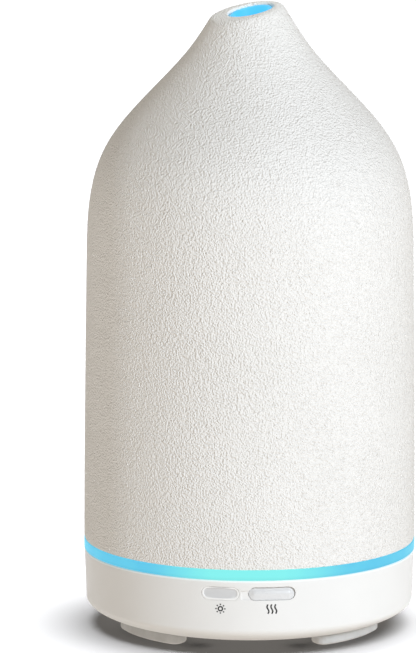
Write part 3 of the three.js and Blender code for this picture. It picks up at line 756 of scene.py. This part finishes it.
def tank_tub():
    """A tub with a flange, a socket for the mist disc, an air riser and four screw bosses."""
    wall_in, floor, floor_top = 36.5, 26, 28
    section = [
        (7, floor), (11.6, floor), (11.6, 21), (13.5, 21), (13.5, floor), (wall_in, floor),
        (wall_in, RING_TOP), (44.2, RING_TOP), (44.2, RING_TOP + 1.5), (43.9, RING_TOP + 1.8),
        (39.2, RING_TOP + 1.8), (38.5, RING_TOP + 2.5), (38.5, TANK_RIM - 0.4), (38.1, TANK_RIM),
        (wall_in + 0.4, TANK_RIM), (wall_in, TANK_RIM - 0.4),
    ]
    section += arc((wall_in - 3, floor_top + 3), 3, 3, 0, -90 * DEG, 6)
    section += [(10, floor_top), (7, floor_top - 1)]
    tub = revolve("tank_tub", section, 128)
    half_x, back, front, top, wall = 8, -34.4, -28.1, 56.5, 1.2
    middle, half_y = (back + front) / 2, (front - back) / 2
    outer = [(x, y + middle) for x, y in rounded_box(half_x + wall, half_y + wall, 2.2)]
    inner = [(x, y + middle) for x, y in rounded_box(half_x, half_y, 1.2)]
    adds = [prism("riser", outer, floor + 1, top)]
    adds += [rod("boss", 3, 4.8, floor + 1, at) for at in HOUSING_SCREWS]
    boolean(tub, "UNION", adds)
    cuts = [prism("riser_bore", inner, floor - 1, top + 1)]
    cuts += [rod("pilot", 1.7, 4, 16, at) for at in HOUSING_SCREWS]
    boolean(tub, "DIFFERENCE", cuts)
    smooth(tub)
    return tub


finish_piece(tank_tub(), "base", "tank_plastic", "frosted_plastic", "water_tank")

# ------------------------------------------------------------------ light ring


def ring_band():
    lip, edge = 0.9, 0.12
    section = [
        (39.6, RING_BOTTOM), (43.6, RING_BOTTOM), (43.6, RING_BOTTOM - lip),
        (45, RING_BOTTOM - lip), (45, RING_BOTTOM), (BODY_R - edge, RING_BOTTOM),
        (BODY_R, RING_BOTTOM + edge), (BODY_R, RING_TOP - edge), (BODY_R - edge, RING_TOP),
        (44.6, RING_TOP), (44.6, RING_TOP - 1.2), (39.6, RING_TOP - 1.2),
    ]
    return revolve("ring_band", section, 256)


finish_piece(ring_band(), "base", "light_ring", "light_ring", "light_ring")

# ------------------------------------------------------------------ base housing

# The lower corner is part of an ellipse: its centre, and how far it reaches across and up.
CORNER = (18.5, 7.95)
CORNER_OUT = (28.4, 7)
CORNER_IN = (26.4, 5)
WALL_TOP = RING_BOTTOM - 0.2
WALL_TOP_R = BODY_R - 0.1
FLOOR_IN = 4.5


def wall_radius(z):
    """The base wall's outside radius at a height above its corner."""
    low_r = CORNER[0] + CORNER_OUT[0]
    return low_r + (WALL_TOP_R - low_r) * (z - CORNER[1]) / (WALL_TOP - CORNER[1])


def base_cutters():
    """What is cut from the base: key windows, inlet hole, screw head holes and foot pockets."""
    windows = []
    for x, width in BUTTONS.values():
        outline = pill(width + 2 * KEY_GAP, BUTTON_H + 2 * KEY_GAP)
        windows.append(facing_front(prism("window", outline, 0, 9), x, BUTTON_Z, -BODY_R - 1))
    hole = facing_front(rod("jack_hole", 4.6, 0, 9, sides=64), 0, JACK_Z, 40)
    heads = [rod("head_hole", 3.2, 0, UNDERSIDE + 1.2, at) for at in HOUSING_SCREWS]
    pockets = []
    for turn in FEET.values():
        pocket = prism("pocket", arc_block(POCKET_GAP), 0, FOOT_TOP + POCKET_GAP)
        pocket.data.transform(Matrix.Rotation(turn, 4, "Z"))
        pockets.append(pocket)
    return windows + [hole] + heads + pockets


def air_slots():
    """Five slots under the fan, whose ends lie on a circle."""
    slots, circle, pitch = [], 11.5, 3.6
    for i in range(-2, 3):
        half = math.sqrt(circle**2 - (i * pitch) ** 2) - 1.2
        outline = [(x + FAN_X, y + FAN_Y + i * pitch) for x, y in pill(2 * half, 2, 6)]
        slots.append(prism("air_slot", outline, 0, FLOOR_IN + 1))
    return slots


def bridge_recess():
    """The shallow recess between the keys, deeper on the left."""
    left, right, left_deep, right_deep = -2.3, 0.7, 0.5, 0.12
    front = -wall_radius(BUTTON_Z)
    wedge = [(left, front - 1), (right, front - 1), (right, front + right_deep),
             (left, front + left_deep)]
    return prism("bridge", wedge, BUTTON_Z - 1.7, BUTTON_Z + 0.9)


def base_shell():
    start = math.asin((CORNER[1] - UNDERSIDE) / CORNER_OUT[1])
    stop = math.asin((CORNER[1] - FLOOR_IN) / CORNER_IN[1])
    edge = 0.35
    section = [(0, UNDERSIDE), (1, UNDERSIDE), (20, UNDERSIDE)]
    section += arc(CORNER, *CORNER_OUT, -start, 0, 20)
    section += [(wall_radius(z), z) for z in (12, 16, 20)]
    section += arc((WALL_TOP_R - edge, WALL_TOP - edge), edge, edge, 0, 90 * DEG, 4)
    section += [(45.3, WALL_TOP)]
    section += arc(CORNER, *CORNER_IN, 0, -stop, 12)
    section += [(20, FLOOR_IN), (1, FLOOR_IN), (0, FLOOR_IN)]
    shell = revolve("base_shell", section, 256)
    boolean(shell, "DIFFERENCE", base_cutters())
    shanks = [rod("shank_hole", 1.8, 0, FLOOR_IN + 1, at) for at in HOUSING_SCREWS]
    boolean(shell, "DIFFERENCE", shanks + [bridge_recess()])
    bevel(shell, 0.12)
    boolean(shell, "DIFFERENCE", air_slots())
    smooth(shell, 30 * DEG)
    return shell


finish_piece(base_shell(), "base", "base_plastic", "white_plastic", "base_housing")

# ------------------------------------------------------------------ keys


FLANGE_FRONT = -42.4
FLANGE_DEEP = 0.9
FLANGE_MARGIN = 0.9
# The cap ends inside its flange.
KEY_BACK = -42.0


def key_cap(name, x, width, profile, sunk_low, sunk_high, low_share):
    """A key in its window whose face follows the base's curve and leans back from its lower edge
    to its upper, with a flange that holds it in. The profile is (inset, depth) pairs from the
    window's edge to the middle, and only low_share as deep at the lower edge as at the upper."""
    wall_r = wall_radius(BUTTON_Z)

    def outline(inset):
        return pill(width - 2 * inset, max(BUTTON_H - 2 * inset, 0.06), 14)

    def face_y(px, pz, depth):
        rise = (pz + BUTTON_H / 2) / BUTTON_H
        sunk = sunk_low + (sunk_high - sunk_low) * rise
        sunk += depth * (low_share + (1 - low_share) * rise)
        return -math.sqrt((wall_r - sunk) ** 2 - (x + px) ** 2)

    loops = [[(x + px, KEY_BACK, BUTTON_Z + pz) for px, pz in outline(0.0)]]
    for inset, depth in profile:
        loops.append([(x + px, face_y(px, pz, depth), BUTTON_Z + pz) for px, pz in outline(inset)])
    cap = loft(name, loops, angle=60 * DEG)
    edge = pill(width + 2 * FLANGE_MARGIN, BUTTON_H + 2 * FLANGE_MARGIN)
    flange = facing_front(prism("flange", edge, 0, FLANGE_DEEP), x, BUTTON_Z, FLANGE_FRONT)
    smooth(flange)
    return joined(name, [cap, flange])


def crowned(edge, crown):
    """A rounded edge, then a face that swells a little to the middle."""
    turns = [a * DEG for a in (0, 22, 45, 68, 90)]
    steps = [(edge * (1 - math.cos(a)), edge * (1 - math.sin(a))) for a in turns]
    span = BUTTON_H / 2 - edge
    return steps + [(edge + span * t, -crown * (1 - (1 - t) ** 2)) for t in (0.25, 0.5, 0.75, 0.97)]


def dished(rim, depth):
    """A rounded rim round a sunk flat face."""
    slope = depth * 1.2
    middle = BUTTON_H / 2 - 0.03
    return [(0.0, 0.12), (0.04, 0.03), (0.12, 0.0), (rim, 0.0), (rim + slope * 0.3, depth * 0.12),
            (rim + slope * 0.7, depth * 0.88), (rim + slope, depth), (middle, depth)]


finish_piece(key_cap("light_key_cap", *BUTTONS["light"], dished(0.35, 0.35), 0.0, 0.12, 0.4),
             "light_key", "light_key", "key_plastic", "light_button")
finish_piece(key_cap("mist_key_cap", *BUTTONS["mist"], crowned(0.7, 0.55), 0.0, 0.75, 0.35),
             "mist_key", "mist_key", "key_plastic", "mist_button")

# ------------------------------------------------------------------ printed signs

SIGN_Z = 13.9
INK = 0.04


def stroke(points, width):
    """A flat band along a line, as a closed outline."""
    line = np.array(points, float)
    ahead = np.gradient(line, axis=0)
    ahead /= np.linalg.norm(ahead, axis=1)[:, None]
    aside = np.stack([-ahead[:, 1], ahead[:, 0]], 1) * width / 2
    return list(map(tuple, line - aside)) + list(map(tuple, (line + aside)[::-1]))


def printed(name, centre_x, bands):
    """Inked bands on the base's front wall. Each band is pairs of points across it."""
    verts, faces = [], []
    for band in bands:
        half = len(band) // 2
        pairs = list(zip(band[:half], band[::-1][:half]))
        start = len(verts)
        for lift in (-0.01, INK):
            for pair in pairs:
                for px, pz in pair:
                    x, z = centre_x + px, SIGN_Z + pz
                    r = wall_radius(z) + lift
                    verts.append((x, -math.sqrt(r * r - x * x), z))
        n = 2 * len(pairs)
        for i in range(len(pairs) - 1):
            a, b, c, d = (start + 2 * i + k for k in (0, 1, 3, 2))
            faces += [(a + n, d + n, c + n, b + n), (a, b, c, d)]
            faces += [(a, d, d + n, a + n), (b + n, c + n, c, b)]
        last = start + n - 2
        faces.append((start, start + n, start + 1 + n, start + 1))
        faces.append((last, last + 1, last + 1 + n, last + n))
    return new_object(name, verts, faces, 30 * DEG)


def sun_sign():
    """A small circle with short rays."""
    circle = [(0.6 * math.cos(a), 0.6 * math.sin(a)) for a in np.linspace(0, FULL, 33)]
    bands = [stroke(circle, 0.38)]
    for i in range(8):
        a = FULL * i / 8
        bands.append(stroke([(t * math.cos(a), t * math.sin(a)) for t in (1.05, 1.25, 1.45)], 0.34))
    return bands


def mist_sign():
    """Three rising wavy lines."""
    bands = []
    for x in (-1.1, 0.0, 1.1):
        wave = [(x + 0.26 * math.sin(FULL * t), 2.7 * (t - 0.5)) for t in np.linspace(0, 1, 17)]
        bands.append(stroke(wave, 0.42))
    return bands


for sign, key, bands in (("light_sign", "light", sun_sign()), ("mist_sign", "mist", mist_sign())):
    finish_piece(printed(sign, BUTTONS[key][0], bands), "base", "ink", "black_plastic")

# ------------------------------------------------------------------ feet


def foot_block(name, turn):
    """A foot with a rounded lower edge, turned to its place about the axis."""
    edge = 0.9
    loops = []
    for a in (0, 22, 45, 68, 90):
        inset = edge * (1 - math.sin(a * DEG))
        height = edge * (1 - math.cos(a * DEG))
        loops.append([(x, y, height) for x, y in arc_block(-inset)])
    loops.append([(x, y, FOOT_TOP) for x, y in arc_block()])
    foot = loft(name, loops, angle=50 * DEG)
    foot.data.transform(Matrix.Rotation(turn, 4, "Z"))
    return foot


for node, turn in FEET.items():
    foot = foot_block(node.replace("foot_", "foot_pad_"), turn)
    finish_piece(foot, "base", "silicone", "silicone", node)

# ------------------------------------------------------------------ screws and inlet


def housing_screw(name, at):
    """A pan-head screw, head down, with a cross recess turned at random."""
    head_r, head_h, shank_r, length = 2.8, 0.9, 1.3, 12
    section = [
        (0, 0), (1.6, 0), (2.3, 0.12), (2.65, 0.4), (head_r, head_h),
        (shank_r, head_h), (shank_r, 10.6), (0.4, length), (0, length),
    ]
    screw = revolve(name, section, 40)
    recess = [block("recess", (-1.5, 1.5), (-0.28, 0.28), (-1, 0.5)),
              block("recess", (-0.28, 0.28), (-1.5, 1.5), (-1, 0.5))]
    boolean(screw, "DIFFERENCE", recess)
    screw.data.transform(Matrix.Rotation(random.uniform(0, 90) * DEG, 4, "Z"))
    screw.data.transform(Matrix.Translation(Vector((*at, UNDERSIDE + 0.1)) * MM))
    smooth(screw, 40 * DEG)
    return screw


random.seed(3)
for i, at in enumerate(HOUSING_SCREWS, 1):
    screw = housing_screw(f"base_screw_{i}", at)
    finish_piece(screw, "base", "steel", "steel", f"housing_screw_{i}")


def power_inlet():
    """A barrel socket: a square body on the board and a round snout that looks out at the back."""
    snout_r, socket_r = 4.1, 3.2
    body = block("inlet_body", (-4.5, 4.5), (30.2, 43.9), (8.2, JACK_Z + 4.4))
    snout = facing_front(rod("snout", snout_r, 0, 3.9, sides=64), 0, JACK_Z, 43)
    boolean(body, "UNION", [snout])
    socket = facing_front(rod("socket", socket_r, 0, 12, sides=64), 0, JACK_Z, 36)
    boolean(body, "DIFFERENCE", [socket])
    bevel(body, 0.25)
    smooth(body)
    return body


finish_piece(power_inlet(), "base", "black_plastic", "black_plastic", "dc_inlet")

# ------------------------------------------------------------------ CAD nodes that stay

for row in frame["record"]["subparts"]:
    obj = frame["nodes"][row["node"]]
    if not obj.hide_render:
        slot = row["material_slot"]
        for held in obj.material_slots:
            held.material = MATERIALS[slot]

# ------------------------------------------------------------------ stage, lights and camera


def floor():
    """A plain table top."""
    reach = 6000
    corners = [(-reach, -reach, 0), (reach, -reach, 0), (reach, reach, 0), (-reach, reach, 0)]
    plane = new_object("floor", corners, [(0, 1, 2, 3)])
    s = Surface("white_floor", Roughness=0.9)
    s.shader.inputs["Specular IOR Level"].default_value = 0.0
    s.drive("Base Color", s.mix(s.noise(400), (0.203, 0.205, 0.210), (0.213, 0.215, 0.220)))
    plane.data.materials.append(s.material)
    plane.visible_diffuse = False
    return plane


def area_light(name, azimuth, elevation, distance, size, radiance, colour):
    """A round soft light that looks at the object's middle from a direction, in degrees."""
    data = bpy.data.lights.new(name, "AREA")
    data.shape = "DISK"
    data.size = size
    data.energy = radiance * math.pi**2 * (size / 2) ** 2
    data.color = colour
    lamp = bpy.data.objects.new(name, data)
    bpy.context.scene.collection.objects.link(lamp)
    turn, rise = azimuth * DEG, elevation * DEG
    level = math.cos(rise)
    away = Vector((math.cos(turn) * level, math.sin(turn) * level, math.sin(rise)))
    lamp.location = Vector((0, 0, LIGHTS_LOOK_AT)) + away * distance
    lamp.rotation_euler = away.to_track_quat("Z", "Y").to_euler()
    lamp.visible_camera = False
    return lamp


def only_lights(lamp, lit, shading):
    """The lamp lights the lit objects alone, and only the shading ones cast shadows in it."""
    for role, objects in (("receiver", lit), ("blocker", shading)):
        group = bpy.data.collections.new(f"{lamp.name}_{role}s")
        for obj in objects:
            group.objects.link(obj)
        setattr(lamp.light_linking, f"{role}_collection", group)


LIGHTS_LOOK_AT = 0.09
WORLD_ABOVE = (0.46, 0.43, 0.39)
WORLD_BELOW = (1.02, 0.96, 0.89)
HORIZON_BLUR = 0.1
# azimuth, elevation, distance, size, radiance, colour
KEY_LIGHT = (-53, 21, 1.4, 0.35, 45.5, (0.89, 1.0, 1.13))
# height above the mouth, size, radiance, colour
LIP_LIGHT = (0.02, 0.012, 5.0, (0.93, 1.0, 1.04))
# tilt about X, tilt about Y, angular size, strength
FLOOR_SUN = (-7, 12, 76, 17.2)


def is_low(obj):
    """Whether the whole object is below the cover's foot."""
    return max((obj.matrix_world @ Vector(c)).z for c in obj.bound_box) < COVER_FOOT * MM


def studio():
    """A soft key light from the front right, a small light over the mouth, and for the floor alone
    a wide sun that only the base shades, which leaves a soft dark shadow close round it."""
    ground = floor()
    shown = [o for o in bpy.context.scene.objects if o.type == "MESH" and o != ground]
    only_lights(area_light("key", *KEY_LIGHT), shown, shown)
    height, size, radiance, colour = LIP_LIGHT
    snoot = area_light("lip_light", 0, 90, 0, size, radiance, colour)
    snoot.location = (0, 0, MOUTH_Z * MM + height)
    only_lights(snoot, shown, shown)
    tip_x, tip_y, spread, strength = FLOOR_SUN
    above = bpy.data.lights.new("floor_light", "SUN")
    above.energy = strength
    above.angle = spread * DEG
    sun = bpy.data.objects.new("floor_light", above)
    bpy.context.scene.collection.objects.link(sun)
    sun.rotation_euler = (tip_x * DEG, tip_y * DEG, 0)
    only_lights(sun, [ground], [o for o in shown if is_low(o)])


def world():
    """White where the camera sees past the floor. The object is lit by WORLD_ABOVE from
    above and by WORLD_BELOW from below."""
    made = bpy.data.worlds.new("studio_world")
    bpy.context.scene.world = made
    made.use_nodes = True
    tree = made.node_tree
    tree.nodes.clear()
    out = tree.nodes.new("ShaderNodeOutputWorld")
    mix = tree.nodes.new("ShaderNodeMixShader")
    rays = tree.nodes.new("ShaderNodeLightPath")
    fill = tree.nodes.new("ShaderNodeBackground")
    place = tree.nodes.new("ShaderNodeTexCoord")
    split = tree.nodes.new("ShaderNodeSeparateXYZ")
    horizon = tree.nodes.new("ShaderNodeMapRange")
    horizon.inputs["From Min"].default_value = -HORIZON_BLUR
    horizon.inputs["From Max"].default_value = HORIZON_BLUR
    halves = tree.nodes.new("ShaderNodeMix")
    halves.data_type = "RGBA"
    halves.inputs[6].default_value = (*WORLD_BELOW, 1)
    halves.inputs[7].default_value = (*WORLD_ABOVE, 1)
    tree.links.new(place.outputs["Generated"], split.inputs[0])
    tree.links.new(split.outputs["Z"], horizon.inputs["Value"])
    tree.links.new(horizon.outputs["Result"], halves.inputs[0])
    tree.links.new(halves.outputs[2], fill.inputs["Color"])
    white = tree.nodes.new("ShaderNodeBackground")
    tree.links.new(rays.outputs["Is Camera Ray"], mix.inputs[0])
    tree.links.new(fill.outputs[0], mix.inputs[1])
    tree.links.new(white.outputs[0], mix.inputs[2])
    tree.links.new(mix.outputs[0], out.inputs[0])


def camera():
    """Two metres away and 12 degrees above the light ring, aimed a little above and left of it."""
    distance, above = 2.0, 12.077 * DEG
    pan, down, roll = -0.352 * DEG, 10.351 * DEG, 0.1 * DEG
    data = bpy.data.cameras.new("camera")
    data.sensor_fit = "VERTICAL"
    data.sensor_height = 36
    data.lens = 382.65
    data.clip_start = 0.1
    data.clip_end = 50
    made = bpy.data.objects.new("camera", data)
    bpy.context.scene.collection.objects.link(made)
    made.location = (0, -distance * math.cos(above), distance * math.sin(above) + RING_TOP * MM)
    look = Matrix.Rotation(-pan, 4, "Z") @ Matrix.Rotation(90 * DEG - down, 4, "X")
    made.rotation_euler = (look @ Matrix.Rotation(roll, 4, "Z")).to_euler()
    bpy.context.scene.camera = made


studio()
world()
camera()
bpy.context.scene.view_settings.view_transform = "Standard"
